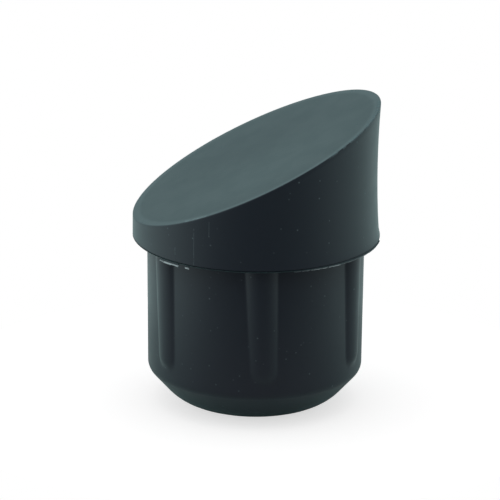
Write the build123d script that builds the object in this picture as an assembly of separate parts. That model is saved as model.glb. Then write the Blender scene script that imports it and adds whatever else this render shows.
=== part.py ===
from build123d import *
import math
import os

# Angled leg tip: a solid plastic plug for the end of a round tube leg that leans. It gives the leg a
# floor face that lies flat. One moulding. Millimetres, +Z up along the tube's axis.
# The origin is the centre of the shoulder, where the tube's end seats. The shank is below the shoulder,
# and the head above it rises towards +X.

# The tube that the tip is made for
tube_outside = 25.4          # outside diameter: a one inch tube
tube_wall = 1.0

# Head
leg_lean = 25.5              # slope of the floor face, degrees: the lean of the leg
low_side = 2.3               # height of the head at its lowest point
head_edge = 0.1              # break of the sharp edges of the floor face and the shoulder
heel_sink = 0.25             # how far the tall side is drawn in, where its plastic shrank
heel_sink_height = 7.0       # height above the shoulder where it is drawn in most
face_rim = 1.3               # width of the flat rim of the floor face at its narrowest
face_dish = 0.22             # depth of the floor face's shallow dish inside that rim

# Shank
bore_gap = 0.5               # gap from the tube's bore to the shank between the ribs
shank_straight = 14.0        # length of the shank down to the rim where its nose starts
shank_draft = 0.6            # mould draft, degrees
nose_length = 3.7            # length of the conical nose below that rim
nose_slope = 42.0            # slope of the nose from the tube's axis, degrees
nose_rim_round = 1.2         # rounding of the rim
nose_end_round = 5.0         # rounding between the nose and its flat end

# Grip ribs
rib_count = 6
rib_squeeze = 0.1            # how far a rib's crest stands past the tube's bore at the shoulder
rib_section = 2.3            # radius of a rib's round section
rib_lead_in = 1.7            # lean of a rib's crest towards the tube's axis, degrees
rib_skew = 1.5               # sideways lean of a rib, degrees
rib_stop = 2.8               # from the middle of a rib's round end down to the nose's rim
rib_root_round = 0.15        # rounding where a rib meets the shank

# Sizes that follow from those above
head_radius = tube_outside / 2
bore_radius = head_radius - tube_wall
shank_radius = bore_radius - bore_gap
rim_radius = shank_radius - shank_straight * math.tan(math.radians(shank_draft))
nose_radius = rim_radius - nose_length * math.tan(math.radians(nose_slope))
shank_length = shank_straight + nose_length
face_height = low_side + head_radius * math.tan(math.radians(leg_lean))
high_side = 2 * face_height - low_side
rib_length = shank_straight - rib_stop
rib_crest_radius = bore_radius + rib_squeeze


def above_floor_face():
    """Everything above the floor face, whose middle is a shallow dish."""
    dish_radius = head_radius - face_rim
    reach = 3 * head_radius
    middle = (0, -face_dish)
    brim = (dish_radius, 0)
    with BuildPart() as above:
        with BuildSketch(Plane.XZ):
            with BuildLine():
                TangentArc(middle, brim, tangent=(1, 0))
                Polyline(brim, (reach, 0), (reach, reach), (0, reach), middle)
            make_face()
        revolve(axis=Axis.Z)
    return Pos(0, 0, face_height) * Rot(0, -leg_lean, 0) * above.part


def slanted_head():
    """The head: a round bar, drawn in on its tall side, cut off by the floor face."""
    foot_ring = Circle(head_radius)
    sunk_ring = Pos(-heel_sink / 2, 0, heel_sink_height) * Circle(head_radius - heel_sink / 2)
    top_ring = Pos(0, 0, high_side + head_edge) * Circle(head_radius)
    head = loft([foot_ring, sunk_ring, top_ring]) - above_floor_face()
    shoulder_edge = head.edges().sort_by(Axis.Z)[0]
    face_edge = head.edges().sort_by(SortBy.LENGTH)[-1]
    return chamfer([shoulder_edge, face_edge], head_edge)


def plain_shank():
    """The drafted plug that enters the tube, with its nose, before it has ribs."""
    shoulder = (shank_radius, 0)
    nose_rim = (rim_radius, -shank_straight)
    nose_corner = (nose_radius, -shank_length)
    nose_middle = (0, -shank_length)
    with BuildPart() as plug:
        with BuildSketch(Plane.XZ):
            with BuildLine():
                rounds = [nose_rim_round, nose_end_round]
                FilletPolyline(shoulder, nose_rim, nose_corner, nose_middle, radius=rounds)
                Polyline(nose_middle, (0, 0), shoulder)
            make_face()
        revolve(axis=Axis.Z)
    return plug.part


def grip_rib():
    """One rib, on the +X side: a rod with a round end, which leans in and sideways on its way down."""
    top = rib_length + low_side / 2
    with BuildPart() as rod:
        with BuildSketch(Plane.XZ):
            with BuildLine():
                Polyline((0, -rib_section), (0, top), (rib_section, top), (rib_section, 0))
                RadiusArc((rib_section, 0), (0, -rib_section), rib_section)
            make_face()
        revolve(axis=Axis.Z)
    half_length = rib_length / 2
    axis_radius = rib_crest_radius - rib_section - half_length * math.tan(math.radians(rib_lead_in))
    lean = Pos(axis_radius, 0, -half_length) * Rot(rib_skew, rib_lead_in, 0) * Pos(0, 0, -half_length)
    return lean * rod.part


def add_ribs(tip):
    """The tip with its ribs spread evenly, the front and back ones square to the floor face's slope."""
    rib = grip_rib()
    for number in range(rib_count):
        tip += Rot(0, 0, (number + 0.5) * 360 / rib_count) * rib
    shank_face = tip.faces().filter_by(GeomType.CONE).sort_by(Axis.Z)[-1]
    rib_roots = shank_face.edges().filter_by(GeomType.BSPLINE)
    return fillet(rib_roots, rib_root_round)


leg_tip = add_ribs(slanted_head() + plain_shank())

os.makedirs("parts", exist_ok=True)
export_step(leg_tip, "parts/leg_tip.step")
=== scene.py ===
import bpy
import bmesh
import math
from mathutils import Matrix, Vector


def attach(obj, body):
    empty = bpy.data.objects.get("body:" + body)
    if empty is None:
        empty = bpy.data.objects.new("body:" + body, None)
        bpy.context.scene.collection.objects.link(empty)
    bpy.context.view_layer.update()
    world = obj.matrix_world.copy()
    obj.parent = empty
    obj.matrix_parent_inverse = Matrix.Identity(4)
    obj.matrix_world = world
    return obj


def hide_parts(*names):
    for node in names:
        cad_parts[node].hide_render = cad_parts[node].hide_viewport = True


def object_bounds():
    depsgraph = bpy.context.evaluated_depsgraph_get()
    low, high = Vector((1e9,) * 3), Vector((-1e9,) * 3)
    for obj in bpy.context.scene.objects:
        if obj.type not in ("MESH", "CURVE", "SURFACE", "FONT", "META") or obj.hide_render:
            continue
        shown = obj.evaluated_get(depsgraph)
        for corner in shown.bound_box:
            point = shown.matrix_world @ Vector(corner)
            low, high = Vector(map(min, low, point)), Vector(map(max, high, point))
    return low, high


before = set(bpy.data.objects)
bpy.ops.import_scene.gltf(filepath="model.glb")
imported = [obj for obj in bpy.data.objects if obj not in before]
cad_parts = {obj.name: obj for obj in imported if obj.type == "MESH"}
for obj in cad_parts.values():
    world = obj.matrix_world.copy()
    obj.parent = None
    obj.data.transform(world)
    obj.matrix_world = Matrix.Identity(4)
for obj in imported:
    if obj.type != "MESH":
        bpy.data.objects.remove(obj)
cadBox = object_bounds()
print("frame loaded")


def pick(kind, test):
    # selects what passes the test in the mesh being edited, and nothing else
    mesh = bpy.context.edit_object.data
    shape = bmesh.from_edit_mesh(mesh)
    for part in list(shape.verts) + list(shape.edges) + list(shape.faces):
        part.select = False
    for part in getattr(shape, kind):
        if test(part):
            part.select_set(True)
    bmesh.update_edit_mesh(mesh)


def slope(degrees):
    return math.tan(math.radians(degrees))


def addCamera():
    view = {
        "azimuth": -4.0,          # degrees round the object from straight in front
        "elevation": 18.2,
        "roll": 0.51,
        "distance": 0.65,         # metres
        "lens": 453.7,            # millimetres
        "aim": (0.0, 0.0, -0.002),
        "aimRight": -0.000587,    # from that point to the middle of the frame
        "aimUp": 0.000276,
    }
    turn = math.radians(view["azimuth"])
    rise = math.radians(view["elevation"])
    back = Vector((math.sin(turn) * math.cos(rise), -math.cos(turn) * math.cos(rise), math.sin(rise)))
    facing = (-back).to_track_quat("-Z", "Y").to_matrix()
    right, up = facing.col[0], facing.col[1]
    aim = Vector(view["aim"]) + right * view["aimRight"] + up * view["aimUp"]
    data = bpy.data.cameras.new("camera")
    data.lens = view["lens"]
    data.clip_start, data.clip_end = 0.1, 20.0
    camera = bpy.data.objects.new("camera", data)
    bpy.context.scene.collection.objects.link(camera)
    roll = Matrix.Rotation(math.radians(view["roll"]), 3, "Z")
    camera.matrix_world = Matrix.Translation(aim + back * view["distance"]) @ (facing @ roll).to_4x4()
    bpy.context.scene.camera = camera
    print("camera placed")


# The tip is modelled in millimetres, with its shoulder at height 0, and brought to metres at the end.

near = 0.01                   # places as close as this count as one
millimetre = 0.001            # in metres

shank = {
    "columns": 540,           # edges round the tip
    "radius": 11.2,
    "straight": 14.0,
    "rows": 42,
    "draft": 0.6,             # degrees
    "noseLength": 3.7,
    "noseSlope": 42.0,        # degrees
    "rimRound": 1.2,
    "endRound": 5.0,
    "roundSteps": 8,
    "spare": 1.0,             # length above the shoulder that is cut off again
}


def isTopFace(face):
    # the one face that closes the top, with an edge for each column
    return len(face.verts) > shank["columns"] / 2 and face.normal.z > 0


def isBottomFace(face):
    return len(face.verts) > shank["columns"] / 2 and face.normal.z < 0


def isUpright(edge):
    return abs((edge.verts[0].co - edge.verts[1].co).normalized().z) > 0.9


def editTip():
    bpy.ops.object.mode_set(mode="EDIT")
    bpy.context.tool_settings.mesh_select_mode = (False, True, True)    # edges and faces


def widen(share):
    # scales what is selected about the tip's axis
    bpy.ops.transform.resize(value=(share, share, 1), center_override=(0, 0, 0))


def growRing(radius, newRadius, rise):
    # extrudes the selected end face to its next ring
    bpy.ops.mesh.extrude_region_move(TRANSFORM_OT_translate={"value": (0, 0, rise)})
    widen(newRadius / radius)


def cutAbove(place, normal):
    # cuts off what is above a plane, and closes the cut with a face
    bpy.ops.mesh.select_all(action="SELECT")
    bpy.ops.mesh.bisect(plane_co=place, plane_no=normal, use_fill=True, clear_outer=True, threshold=1e-5)


def roundedCorner(before, corner, after, radius):
    # points along the round that takes the place of a corner of the profile
    toBefore, toAfter = (before - corner).normalized(), (after - corner).normalized()
    half = toBefore.angle(toAfter) / 2
    middle = corner + (toBefore + toAfter).normalized() * (radius / math.sin(half))
    start = (corner + toBefore * (radius / math.tan(half)) - middle).normalized()
    end = (corner + toAfter * (radius / math.tan(half)) - middle).normalized()
    steps = shank["roundSteps"]
    return [middle + start.slerp(end, step / steps) * radius for step in range(steps + 1)]


def addShank():
    rimRadius = shank["radius"] - shank["straight"] * slope(shank["draft"])
    endRadius = rimRadius - shank["noseLength"] * slope(shank["noseSlope"])
    tall = shank["straight"] + shank["noseLength"]
    top, rim = Vector((shank["radius"], 0)), Vector((rimRadius, -shank["straight"]))
    end, middle = Vector((endRadius, -tall)), Vector((0, -tall))
    profile = roundedCorner(top, rim, end, shank["rimRound"])
    profile += roundedCorner(rim, end, middle, shank["endRound"])
    first = profile.pop(0)
    length = shank["spare"] - first.y

    # the straight part, divided into rows, and then the nose ring by ring
    bpy.ops.object.select_all(action="DESELECT")
    bpy.ops.mesh.primitive_cylinder_add(vertices=shank["columns"], radius=first.x, depth=length,
                                        location=(0, 0, shank["spare"] - length / 2), end_fill_type="NGON")
    tip = bpy.context.object
    tip.name = tip.data.name = "angledLegTip"
    bpy.ops.object.transform_apply(location=True, rotation=False, scale=False)
    editTip()
    pick("faces", isTopFace)
    widen((first.x + length * slope(shank["draft"])) / first.x)
    pick("edges", isUpright)
    bpy.ops.mesh.subdivide(number_cuts=shank["rows"])
    pick("faces", isBottomFace)
    last = first
    for point in profile:
        growRing(last.x, point.x, point.y - last.y)
        last = point
    bpy.ops.object.mode_set(mode="OBJECT")
    print("shank modelled, nose end radius", round(endRadius, 2), "mm")
    return tip


ribs = {
    "count": 6,
    "crest": 11.8,            # radius of the crests at the shoulder
    "section": 2.3,           # radius of a rib's round section
    "length": 11.2,           # from the shoulder down to the middle of the round end
    "leadIn": 1.7,            # degrees towards the axis
    "skew": 1.5,              # degrees sideways
    "spare": 4.0,             # length of a rod above the shoulder
    "segments": 96,           # edges round a rod
    "reach": 0.9,             # the most that the shank's wall is pushed out
    "soften": 1,              # passes that round the roots
}


def addRods():
    # one rod with round ends, leaning in and sideways, and its copies round the axis
    half = ribs["length"] / 2
    axisRadius = ribs["crest"] - ribs["section"] - half * slope(ribs["leadIn"])
    bpy.ops.object.select_all(action="DESELECT")
    bpy.ops.mesh.primitive_uv_sphere_add(segments=ribs["segments"], ring_count=ribs["segments"] // 2,
                                         radius=ribs["section"], location=(0, 0, 0))
    rods = bpy.context.object
    bpy.ops.object.mode_set(mode="EDIT")
    pick("faces", lambda face: face.calc_center_median().z > 0)
    bpy.ops.mesh.extrude_region_move(TRANSFORM_OT_translate={"value": (0, 0, ribs["length"] + ribs["spare"])})
    bpy.ops.mesh.select_all(action="SELECT")
    bpy.ops.transform.translate(value=(0, 0, -half))
    bpy.ops.object.mode_set(mode="OBJECT")
    sideways = Matrix.Rotation(math.radians(ribs["skew"]), 4, "X")
    inwards = Matrix.Rotation(math.radians(ribs["leadIn"]), 4, "Y")
    firstRib = Matrix.Rotation(math.pi / ribs["count"], 4, "Z")
    rods.matrix_world = firstRib @ Matrix.Translation((axisRadius, 0, -half)) @ (sideways @ inwards)
    bpy.ops.object.transform_apply(location=True, rotation=True, scale=True)
    bpy.ops.object.mode_set(mode="EDIT")
    bpy.ops.mesh.select_all(action="SELECT")
    for number in range(1, ribs["count"]):
        bpy.ops.mesh.duplicate_move()
        bpy.ops.transform.rotate(value=math.tau / ribs["count"], orient_axis="Z", center_override=(0, 0, 0))
    bpy.ops.object.mode_set(mode="OBJECT")
    return rods


def groupVerts(tip, name, test):
    # a vertex group of what passes the test, for a modifier that shapes only that
    bpy.ops.object.select_all(action="DESELECT")
    tip.select_set(True)
    bpy.context.view_layer.objects.active = tip
    bpy.ops.object.vertex_group_add()
    tip.vertex_groups.active.name = name
    bpy.ops.object.mode_set(mode="EDIT")
    bpy.context.tool_settings.mesh_select_mode = (True, False, False)
    pick("verts", test)
    bpy.ops.object.vertex_group_assign()
    bpy.ops.object.mode_set(mode="OBJECT")


def addRibs(tip):
    # the shank's wall is pushed out to the rods that stand in it
    rods = addRods()
    groupVerts(tip, "shankWall", lambda vert: -shank["straight"] < vert.co.z < shank["spare"] - near)
    wrap = tip.modifiers.new("ribForms", "SHRINKWRAP")
    wrap.target, wrap.vertex_group = rods, "shankWall"
    wrap.wrap_method, wrap.wrap_mode = "PROJECT", "ON_SURFACE"
    wrap.use_positive_direction, wrap.use_negative_direction = True, False
    wrap.project_limit, wrap.cull_face = ribs["reach"], "FRONT"
    bpy.ops.object.modifier_apply(modifier=wrap.name)
    soften = tip.modifiers.new("rootRounds", "SMOOTH")
    soften.vertex_group, soften.factor, soften.iterations = "shankWall", 0.5, ribs["soften"]
    bpy.ops.object.modifier_apply(modifier=soften.name)
    bpy.data.objects.remove(rods)
    print("ribs pushed out")


head = {
    "radius": 12.7,
    "lowSide": 2.3,
    "lean": 25.5,             # slope of the floor face, degrees
    "rows": 14,
    "spare": 3.0,             # height above the tall side that is cut off again
    "edgeBreak": 0.1,         # rounding of the floor face's edge
    "edgeSteps": 3,
    "sink": 0.25,             # how far the tall side is drawn in by shrinkage
    "sinkHeight": 7.0,
    "sinkLevels": 9,
    "foot": 12.74,            # radius at the foot, where the two halves of the mould part
    "footShift": 0.04,        # the foot is off centre, towards the tall side
    "footBreak": 0.07,
    "grooveWidth": 0.13,      # the fine groove above the foot's edge
    "grooveDepth": 0.12,
    "flareHeight": 0.55,      # where the flare towards the foot starts
    "flareTilt": 0.9,         # degrees, so that it starts higher on the tall side
    "rim": 0.9,               # where the dish starts, as a share of the floor face
    "dish": 0.22,
    "dishRings": 16,
}

# the floor face's plane, and the top of the foot, follow from those
lean = math.radians(head["lean"])
faceHeight = head["lowSide"] + head["radius"] * math.tan(lean)
highSide = 2 * faceHeight - head["lowSide"]
faceCentre = Vector((0, 0, faceHeight))
faceNormal = Vector((-math.sin(lean), 0, math.cos(lean)))
upSlope = Vector((math.cos(lean), 0, math.sin(lean)))
footTop = head["footBreak"] + head["grooveWidth"]


# what the parting line left on the foot's edge, in degrees round from the front towards the tall side
burrs = {
    "width": 0.12,
    "arcs": [
        {"start": -54.5, "end": -42.5, "fade": 0, "out": 0.0, "down": 0.36, "bite": 0.05},
        {"start": -38.7, "end": -36.7, "fade": 0, "out": 0.0, "down": 0.38, "bite": 0.05},
        {"start": 14, "end": 78, "fade": 24, "out": 0.13, "down": 0.1, "bite": 0.02},
    ],
    "fadeSteps": 8,
    "waves": (11, 4.7),       # radians a millimetre, of two waves along the edge
    "biteLevel": 0.3,         # the edge is bitten where they add up to more
}


def onArc(place, start, end):
    return start < math.degrees(math.atan2(place.x, -place.y)) < end


def isBitten(vert):
    return sum(math.sin(wave * vert.co.x) for wave in burrs["waves"]) > burrs["biteLevel"]


def addBurrs(inner):
    # the foot's edge is pushed out and the narrow band inside it down, less where it is bitten
    for arc in burrs["arcs"]:
        start, end, down = arc["start"], arc["end"], arc["down"]
        for step in range(burrs["fadeSteps"]):
            risen = start + arc["fade"] * step / burrs["fadeSteps"]
            pick("verts", lambda vert: abs(vert.co.z) < head["footBreak"] + near
                 and vert.co.xy.length > inner + near and onArc(vert.co, risen, end))
            widen(1 + arc["out"] / head["foot"] / burrs["fadeSteps"])
        pick("faces", lambda face: abs(face.calc_center_median().z) < near
             and face.calc_center_median().xy.length > inner and onArc(face.calc_center_median(), start, end))
        bpy.ops.mesh.extrude_region_move(TRANSFORM_OT_translate={"value": (0, 0, -down)})
        pick("verts", lambda vert: abs(vert.co.z + down) < near and vert.co.xy.length > inner - near
             and isBitten(vert))
        bpy.ops.transform.translate(value=(0, 0, arc["bite"]))


def pickedRadius():
    shape = bmesh.from_edit_mesh(bpy.context.edit_object.data)
    picked = [vert.co.xy.length for vert in shape.verts if vert.select]
    return sum(picked) / len(picked)


def growFoot():
    # the shank ends level with the shoulder, and the head flares a little at its foot
    cutAbove((0, 0, 0), (0, 0, 1))
    pick("faces", isTopFace)
    bpy.ops.mesh.extrude_region_move(TRANSFORM_OT_translate={"value": (0, 0, 0)})
    bpy.ops.transform.tosphere(value=1)
    ring = pickedRadius()
    shoulder = head["foot"] - head["footBreak"]
    inner = shoulder - burrs["width"]
    widen(inner / ring)
    growRing(inner, shoulder, 0)
    growRing(shoulder, head["foot"], head["footBreak"])
    groove = head["foot"] - head["grooveDepth"]
    growRing(head["foot"], groove, 0)
    growRing(groove, groove, head["grooveWidth"])
    growRing(groove, head["foot"], 0)
    pick("verts", lambda vert: vert.co.z > -near and vert.co.xy.length > inner - near)
    bpy.ops.transform.translate(value=(head["footShift"], 0, 0))
    pick("faces", isTopFace)
    growRing(head["foot"], head["radius"], head["flareHeight"] - footTop)
    bpy.ops.transform.translate(value=(-head["footShift"] * head["radius"] / head["foot"], 0, 0))
    bpy.ops.transform.rotate(value=math.radians(head["flareTilt"]), orient_axis="Y",
                             center_override=(0, 0, head["flareHeight"]))
    bpy.ops.mesh.extrude_region_move(TRANSFORM_OT_translate={"value": (0, 0, highSide + head["spare"])})
    return inner


def sinkTallSide(tip):
    # a lattice draws the wall in: most on the tall side, half as much at the front and back, and not at
    # all on the low side
    levels = head["sinkLevels"]
    bpy.ops.object.select_all(action="DESELECT")
    bpy.ops.object.add(type="LATTICE", location=(0, 0, highSide / 2))
    cage = bpy.context.object
    cage.scale = (2 * head["radius"], 2 * head["radius"], highSide)
    cage.data.points_u, cage.data.points_v, cage.data.points_w = 2, 2, levels
    cage.data.interpolation_type_u = cage.data.interpolation_type_v = "KEY_LINEAR"
    cage.data.interpolation_type_w = "KEY_CARDINAL"
    for number, point in enumerate(cage.data.points):
        height = (number // 4) / (levels - 1) * highSide    # four points to a level
        reach = head["sinkHeight"] if height < head["sinkHeight"] else highSide - head["sinkHeight"]
        sink = head["sink"] * (1 - ((height - head["sinkHeight"]) / reach) ** 2)
        place = point.co_deform.copy()
        place.x -= sink / (2 * head["radius"]) if place.x > 0 else 0
        place.y -= math.copysign(sink / 2 / (2 * head["radius"]), place.y)
        point.co_deform = place
    groupVerts(tip, "headWall", lambda vert: vert.co.z > footTop + near)
    bend = tip.modifiers.new("tallSideSink", "LATTICE")
    bend.object, bend.vertex_group = cage, "headWall"
    bpy.ops.object.modifier_apply(modifier=bend.name)
    bpy.data.objects.remove(cage)


def breakFaceEdge():
    # the floor face is made flat again after the wall is drawn in, and its edge is rounded
    pick("faces", isTopFace)
    bpy.ops.transform.resize(value=(1, 1, 0), orient_type="GLOBAL",
                             orient_matrix=(upSlope, (0, 1, 0), faceNormal), orient_matrix_type="GLOBAL",
                             constraint_axis=(False, False, True), center_override=faceCentre)
    pick("faces", isTopFace)
    bpy.ops.mesh.region_to_loop()
    bpy.ops.mesh.bevel(offset=head["edgeBreak"], segments=head["edgeSteps"], profile=0.5, affect="EDGES")


def dishFace():
    # the shallow dish, inside a narrow band that keeps the rim's shading flat
    pick("faces", isTopFace)
    bpy.ops.mesh.inset(thickness=head["edgeBreak"])
    share, depth = 1.0, 0.0
    for step in range(head["dishRings"]):
        nextShare = head["rim"] * (1 - step / head["dishRings"])
        inward = 1 - nextShare / head["rim"]
        nextDepth = head["dish"] * inward * inward * (3 - 2 * inward)
        bpy.ops.mesh.extrude_region_move(TRANSFORM_OT_translate={"value": faceNormal * (depth - nextDepth)})
        bpy.ops.transform.resize(value=(nextShare / share,) * 3,
                                 center_override=faceCentre - faceNormal * nextDepth)
        share, depth = nextShare, nextDepth


def addHead(tip):
    editTip()
    inner = growFoot()
    addBurrs(inner)

    # the slanted cut, and rows up the wall below it
    cutAbove(faceCentre, faceNormal)
    pick("edges", lambda edge: min(vert.co.z for vert in edge.verts) > footTop + near and isUpright(edge))
    bpy.ops.mesh.subdivide(number_cuts=head["rows"])
    bpy.ops.object.mode_set(mode="OBJECT")
    sinkTallSide(tip)
    editTip()
    breakFaceEdge()
    dishFace()
    bpy.ops.object.mode_set(mode="OBJECT")
    print("head modelled, tall side", round(highSide, 2), "mm")


def finishTip(tip):
    sharpest = 35.0           # degrees; a sharper edge isn't shaded smooth
    bpy.ops.object.mode_set(mode="EDIT")
    bpy.ops.mesh.select_all(action="SELECT")
    bpy.ops.mesh.normals_make_consistent(inside=False)
    bpy.ops.transform.resize(value=(millimetre,) * 3, center_override=(0, 0, 0))
    bpy.ops.object.mode_set(mode="OBJECT")
    bpy.ops.object.shade_smooth_by_angle(angle=math.radians(sharpest))
    print("leg tip finished,", len(tip.data.polygons), "faces")


class Nodes:
    # adds nodes to a tree and joins them, in the order that they are written
    def __init__(self, tree):
        self.tree = tree
        self.column = 0

    def add(self, kind, inputs=None, **settings):
        node = self.tree.nodes.new(kind)
        node.location = (-1800 + 180 * self.column, -300)
        self.column += 1
        for name, value in settings.items():
            setattr(node, name, value)
        for name, value in (inputs or {}).items():
            if isinstance(value, bpy.types.NodeSocket):
                self.tree.links.new(value, node.inputs[name])
            else:
                node.inputs[name].default_value = value
        return node

    def math(self, operation, first, second=0.0, clamp=False):
        node = self.add("ShaderNodeMath", {0: first, 1: second}, operation=operation, use_clamp=clamp)
        return node.outputs[0]

    def vectorMath(self, operation, first, second=(0, 0, 0), result="Value"):
        node = self.add("ShaderNodeVectorMath", {0: first, 1: second}, operation=operation)
        return node.outputs[result]

    def times(self, first, *others):
        for other in others:
            first = self.math("MULTIPLY", first, other)
        return first

    def mix(self, share, first, second):
        return self.add("ShaderNodeMix", {"Factor": share, "A": first, "B": second}).outputs[0]

    def mixColour(self, share, first, second):
        return self.add("ShaderNodeMixRGB", {"Fac": share, "Color1": first, "Color2": second}).outputs[0]

    def noise(self, place, size, detail):
        node = self.add("ShaderNodeTexNoise", {"Vector": place, "Scale": 1 / size, "Detail": detail})
        return node.outputs["Fac"]

    def between(self, value, low, high, lowResult=0.0, highResult=1.0):
        # goes smoothly from one result to the other
        node = self.add("ShaderNodeMapRange", {"Value": value, "From Min": low, "From Max": high,
                                               "To Min": lowResult, "To Max": highResult},
                        interpolation_type="SMOOTHSTEP")
        return node.outputs[0]

    def inside(self, value, low, high):
        # 1 between the two bounds and 0 past them, with no soft edge
        return self.times(self.math("GREATER_THAN", value, low), self.math("LESS_THAN", value, high))

    def seenDirectly(self):
        # 1 for the camera, also through glass, and 0 for what lights the object
        ray = self.add("ShaderNodeLightPath")
        return self.math("MAXIMUM", ray.outputs["Is Camera Ray"], ray.outputs["Is Transmission Ray"])


# The marks, the painted glint and the painted highlight, and the finish are in metres, from the tip's axis
# and its shoulder. Across the tip is along x, towards the tall side. A fine noise, from 0 to 1, breaks the
# marks and the painted light up: where one starts to show and where it shows in full is its "breakup".

dust = {
    "spacing": 0.0008,
    "radius": 0.00009,
    "share": 0.45,            # share of the places that hold a speck
    "edge": (1.5, 0.4),       # a speck's soft edge, from the outside inwards, as shares of its radius
}


def dustMask(nodes, here):
    cells = nodes.add("ShaderNodeTexVoronoi", {"Vector": here, "Scale": 1 / dust["spacing"]})
    chance = nodes.add("ShaderNodeSeparateColor", {"Color": cells.outputs["Color"]})
    held = nodes.math("LESS_THAN", chance.outputs[0], dust["share"])
    radius = dust["radius"] / dust["spacing"]
    outer, inner = dust["edge"]
    speck = nodes.between(cells.outputs["Distance"], radius * outer, radius * inner)
    return nodes.times(speck, held, chance.outputs[1])


# upright witness lines of the mould, on the front of the head's wall
witness = {
    "lines": [
        {"across": -0.00703, "halfWidth": 0.00007, "bottom": 0.0002, "top": 0.0041},
        {"across": -0.00555, "halfWidth": 0.00005, "bottom": 0.0035, "top": 0.0051},
        {"across": -0.00884, "halfWidth": 0.00007, "bottom": 0.0009, "top": 0.0017},
    ],
    "core": 0.3,              # share of a line's width that shows in full
    "breakup": (0.25, 0.5),
    "strength": 0.4,          # how pale the lines are
}


def witnessMask(nodes, x, z, front, breakup):
    lines = 0.0
    for line in witness["lines"]:
        off = nodes.math("ABSOLUTE", nodes.math("SUBTRACT", x, line["across"]))
        mark = nodes.between(off, line["halfWidth"], line["halfWidth"] * witness["core"])
        mark = nodes.times(mark, nodes.inside(z, line["bottom"], line["top"]))
        lines = nodes.math("MAXIMUM", lines, mark)
    return nodes.times(lines, front, nodes.between(breakup, *witness["breakup"]), witness["strength"])


# painted glint: the burrs on the foot's edge are painted pale, partly as their own pale flash and mostly as a
# painted glint whose strength changes along the edge
paleBurrsAndGlint = {
    "colour": (0.42, 0.45, 0.47, 1.0),
    "top": (-0.00018, -0.00002),    # height below which the painted glint shows, on the low side and the tall side
    "topChange": (-0.002, 0.002),   # across the tip, from the one to the other
    "rise": (0.003, 0.007, 0.2, 1.0),      # strength of the painted glint on the tall side: two places, and the strength at each
    "fall": (0.0077, 0.0081, 1.0, 0.3),
    "breakup": (0.25, 0.5),
}


def paleBurrAndGlintMask(nodes, x, z, outside, breakup):
    # painted glint on the burrs, strongest on the low side and at one stretch of the tall side
    top = nodes.between(x, *paleBurrsAndGlint["topChange"], *paleBurrsAndGlint["top"])
    lowSide = nodes.math("LESS_THAN", x, 0.0)
    strength = nodes.math("MAXIMUM", lowSide, nodes.between(x, *paleBurrsAndGlint["rise"]))
    strength = nodes.times(strength, nodes.between(x, *paleBurrsAndGlint["fall"]))
    low = nodes.math("LESS_THAN", z, top)
    return nodes.times(outside, low, nodes.between(breakup, *paleBurrsAndGlint["breakup"]), strength)


# nicks in the floor face's edge, on the front of the tall side
nicks = {
    "depth": 0.00022,         # how far they reach down from the face
    "across": (0.0062, 0.0072),    # where they start, and where there are most
    "breakup": (0.45, 0.55),
}


def nickMask(nodes, here, x, front, outside, breakup):
    height = faceHeight * math.cos(lean) * millimetre
    below = nodes.math("SUBTRACT", height, nodes.vectorMath("DOT_PRODUCT", here, faceNormal))
    return nodes.times(nodes.between(below, nicks["depth"], 0.0), outside,
                       nodes.between(x, *nicks["across"]), front, nodes.between(breakup, *nicks["breakup"]))


# painted highlight: the floor face's rim is painted a little paler, with painted glints on the front of its
# low side
rimHighlight = {
    "strength": 0.35,         # how much paler the painted highlight makes the rim
    "out": (0.0117, 0.0122),  # from the axis: where it starts, and where it is full and the painted glints begin
    "edgeGlints": (-0.0079, -0.0058),    # across the tip, from here to there
    "breakup": (0.35, 0.5),
}


def rimHighlightMask(nodes, x, out, front, breakup):
    # painted highlight towards the rim, and painted glints on its front low side
    start, full = rimHighlight["out"]
    brightened = nodes.times(nodes.between(out, start, full), rimHighlight["strength"])
    edgeGlints = nodes.times(nodes.math("GREATER_THAN", out, full), front, nodes.inside(x, *rimHighlight["edgeGlints"]),
                         nodes.between(breakup, *rimHighlight["breakup"]))
    return nodes.math("MAXIMUM", brightened, edgeGlints)


plastic = {
    "colour": (0.0165, 0.0155, 0.026, 1.0),
    "specular": 0.25,
    "sheen": 0.15,            # the pale haze that shows at low angles
    "sheenTint": (0.4, 1.0, 0.95, 1.0),
    "sheenRoughness": 0.57,
    "wallRoughness": 0.38,
    "faceRoughness": 0.44,
    "faceTurn": (0.9, 0.98),  # cosine of the turn from the floor face: from the walls' finish to the face's
    "patchSize": 0.0025,
    "patchRange": (0.3, 0.7),    # of the noise, from the one roughness to the other
    "patchRoughness": (-0.02, 0.02),
    "grainSize": 0.00012,
    "grainHeight": 0.000004,
    "waveSize": 0.006,
    "waveHeight": 0.00002,
    "breakupSize": 0.0004,
    "edge": (0.0122, 0.0124),    # from the axis: where the nicks and the burrs' painted glint on the outer edges start, and are full
    # for the marks, and for the rim's painted highlight
    "markAndHighlightColour": (0.085, 0.102, 0.117, 1.0),
    "markRoughness": 0.4,     # what a mark adds
    "markHeight": 0.00002,
}


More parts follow.
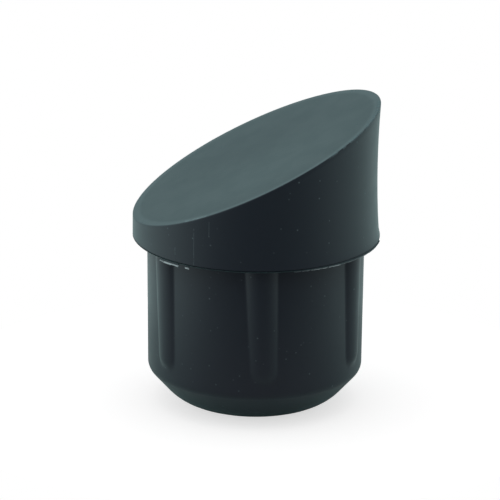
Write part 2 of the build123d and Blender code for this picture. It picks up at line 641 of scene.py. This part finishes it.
def makePlastic():
    material = bpy.data.materials.new("darkMouldedPlastic")
    material.use_nodes = True
    tree = material.node_tree
    nodes = Nodes(tree)
    shader = tree.nodes["Principled BSDF"]
    shader.inputs["Specular IOR Level"].default_value = plastic["specular"]
    shader.inputs["Sheen Weight"].default_value = plastic["sheen"]
    shader.inputs["Sheen Tint"].default_value = plastic["sheenTint"]
    shader.inputs["Sheen Roughness"].default_value = plastic["sheenRoughness"]
    place = nodes.add("ShaderNodeTexCoord")
    here = place.outputs["Object"]
    x, y, z = nodes.add("ShaderNodeSeparateXYZ", {"Vector": here}).outputs

    # the floor face has a duller finish than the walls, and both change a little from patch to patch
    onFace = nodes.vectorMath("DOT_PRODUCT", place.outputs["Normal"], faceNormal)
    onFace = nodes.between(onFace, *plastic["faceTurn"])
    patches = nodes.noise(here, plastic["patchSize"], 4.0)
    finish = nodes.between(onFace, 0.0, 1.0, plastic["wallRoughness"], plastic["faceRoughness"])
    change = nodes.between(patches, *plastic["patchRange"], *plastic["patchRoughness"])
    roughness = nodes.math("ADD", finish, change)

    # the marks, the rim's painted highlight and the burrs' painted glint
    breakup = nodes.noise(here, plastic["breakupSize"], 2.0)
    out = nodes.vectorMath("LENGTH", nodes.vectorMath("MULTIPLY", here, (1, 1, 0), "Vector"))
    outside = nodes.between(out, *plastic["edge"])
    front = nodes.math("LESS_THAN", y, 0.0)
    marks = nodes.math("MAXIMUM", dustMask(nodes, here), witnessMask(nodes, x, z, front, breakup))
    marks = nodes.math("MAXIMUM", marks, nickMask(nodes, here, x, front, outside, breakup))
    # the rim's painted highlight, only on the floor face
    rim = nodes.times(rimHighlightMask(nodes, x, out, front, breakup), onFace)
    # the marks and the rim's painted highlight take the paler mark colour
    colour = nodes.mixColour(nodes.math("MAXIMUM", marks, rim), plastic["colour"], plastic["markAndHighlightColour"])
    # the burrs' painted glint, partly their own pale flash
    colour = nodes.mixColour(paleBurrAndGlintMask(nodes, x, z, outside, breakup), colour, paleBurrsAndGlint["colour"])
    roughness = nodes.math("ADD", roughness, nodes.times(marks, plastic["markRoughness"]), clamp=True)

    # fine grain on the face, slow waves all over, and the height of the marks
    grain = nodes.times(nodes.noise(here, plastic["grainSize"], 3.0), onFace, plastic["grainHeight"])
    waves = nodes.times(nodes.noise(here, plastic["waveSize"], 1.0), plastic["waveHeight"])
    relief = nodes.math("ADD", nodes.math("ADD", grain, waves), nodes.times(marks, plastic["markHeight"]))
    bump = nodes.add("ShaderNodeBump", {"Height": relief, "Strength": 1.0, "Distance": 1.0})
    tree.links.new(colour, shader.inputs["Base Color"])
    tree.links.new(roughness, shader.inputs["Roughness"])
    tree.links.new(bump.outputs["Normal"], shader.inputs["Normal"])
    print("plastic made")
    return material


studio = {
    "tint": (0.86, 1.0, 1.0, 1.0),    # cool white
    "front": 0.14,            # light from behind the camera, where white is 1
    "left": 1.2,
    "right": 0.8,
    "back": 0.7,
    "top": 1.1,
    "sideTurn": (-0.5, 0.5),  # where left turns into right: the direction's share along x
    "frontTurn": (-1.0, 0.0),    # where front turns into the sides, along y
    "backTurn": (0.2, 1.0),   # and where they turn into back
    "topTurn": (0.3, 1.0),    # where all of them turn into top, along z
    "floorRadius": 0.034,     # metres
    "floorColour": (0.58, 0.5, 0.5, 1.0),
    "floorRoughness": 0.9,
    "floorLift": 0.65,        # how much lighter the camera sees the floor
}


def lightWorld():
    world = bpy.data.worlds.new("studio")
    bpy.context.scene.world = world
    world.use_nodes = True
    nodes = Nodes(world.node_tree)
    background = world.node_tree.nodes["Background"]
    place = nodes.add("ShaderNodeTexCoord")
    x, y, z = nodes.add("ShaderNodeSeparateXYZ", {"Vector": place.outputs["Generated"]}).outputs
    sides = nodes.between(x, *studio["sideTurn"], studio["left"], studio["right"])
    level = nodes.mix(nodes.between(y, *studio["frontTurn"]), studio["front"], sides)
    level = nodes.mix(nodes.between(y, *studio["backTurn"]), level, studio["back"])
    level = nodes.mix(nodes.between(z, *studio["topTurn"]), level, studio["top"])
    direct = nodes.seenDirectly()
    level = nodes.mix(direct, level, 1.0)
    tint = nodes.mixColour(direct, studio["tint"], (1, 1, 1, 1))
    world.node_tree.links.new(level, background.inputs["Strength"])
    world.node_tree.links.new(tint, background.inputs["Color"])


def addFloor():
    # a small disc of paper, clear from below
    bpy.ops.object.select_all(action="DESELECT")
    bpy.ops.mesh.primitive_circle_add(vertices=96, radius=studio["floorRadius"], fill_type="NGON",
                                      location=(0, 0, cadBox[0][2]))
    floor = bpy.context.object
    floor.name = "floor"
    paper = bpy.data.materials.new("paleFloor")
    paper.use_nodes = True
    nodes = Nodes(paper.node_tree)
    shader = paper.node_tree.nodes["Principled BSDF"]
    shader.inputs["Base Color"].default_value = studio["floorColour"]
    shader.inputs["Roughness"].default_value = studio["floorRoughness"]
    shader.inputs["Specular IOR Level"].default_value = 0.0
    shader.inputs["Emission Color"].default_value = (1, 1, 1, 1)
    lift = nodes.times(nodes.seenDirectly(), studio["floorLift"])
    side = nodes.add("ShaderNodeNewGeometry")
    solid = nodes.math("SUBTRACT", 1.0, side.outputs["Backfacing"])
    paper.node_tree.links.new(lift, shader.inputs["Emission Strength"])
    paper.node_tree.links.new(solid, shader.inputs["Alpha"])
    floor.data.materials.append(paper)


addCamera()
legTip = addShank()
addRibs(legTip)
addHead(legTip)
finishTip(legTip)
legTip.data.materials.append(makePlastic())
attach(legTip, "root")
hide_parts("leg_tip")
lightWorld()
addFloor()
print("studio set")

bpy.context.scene.view_settings.view_transform = "Standard"
print("scene ready")
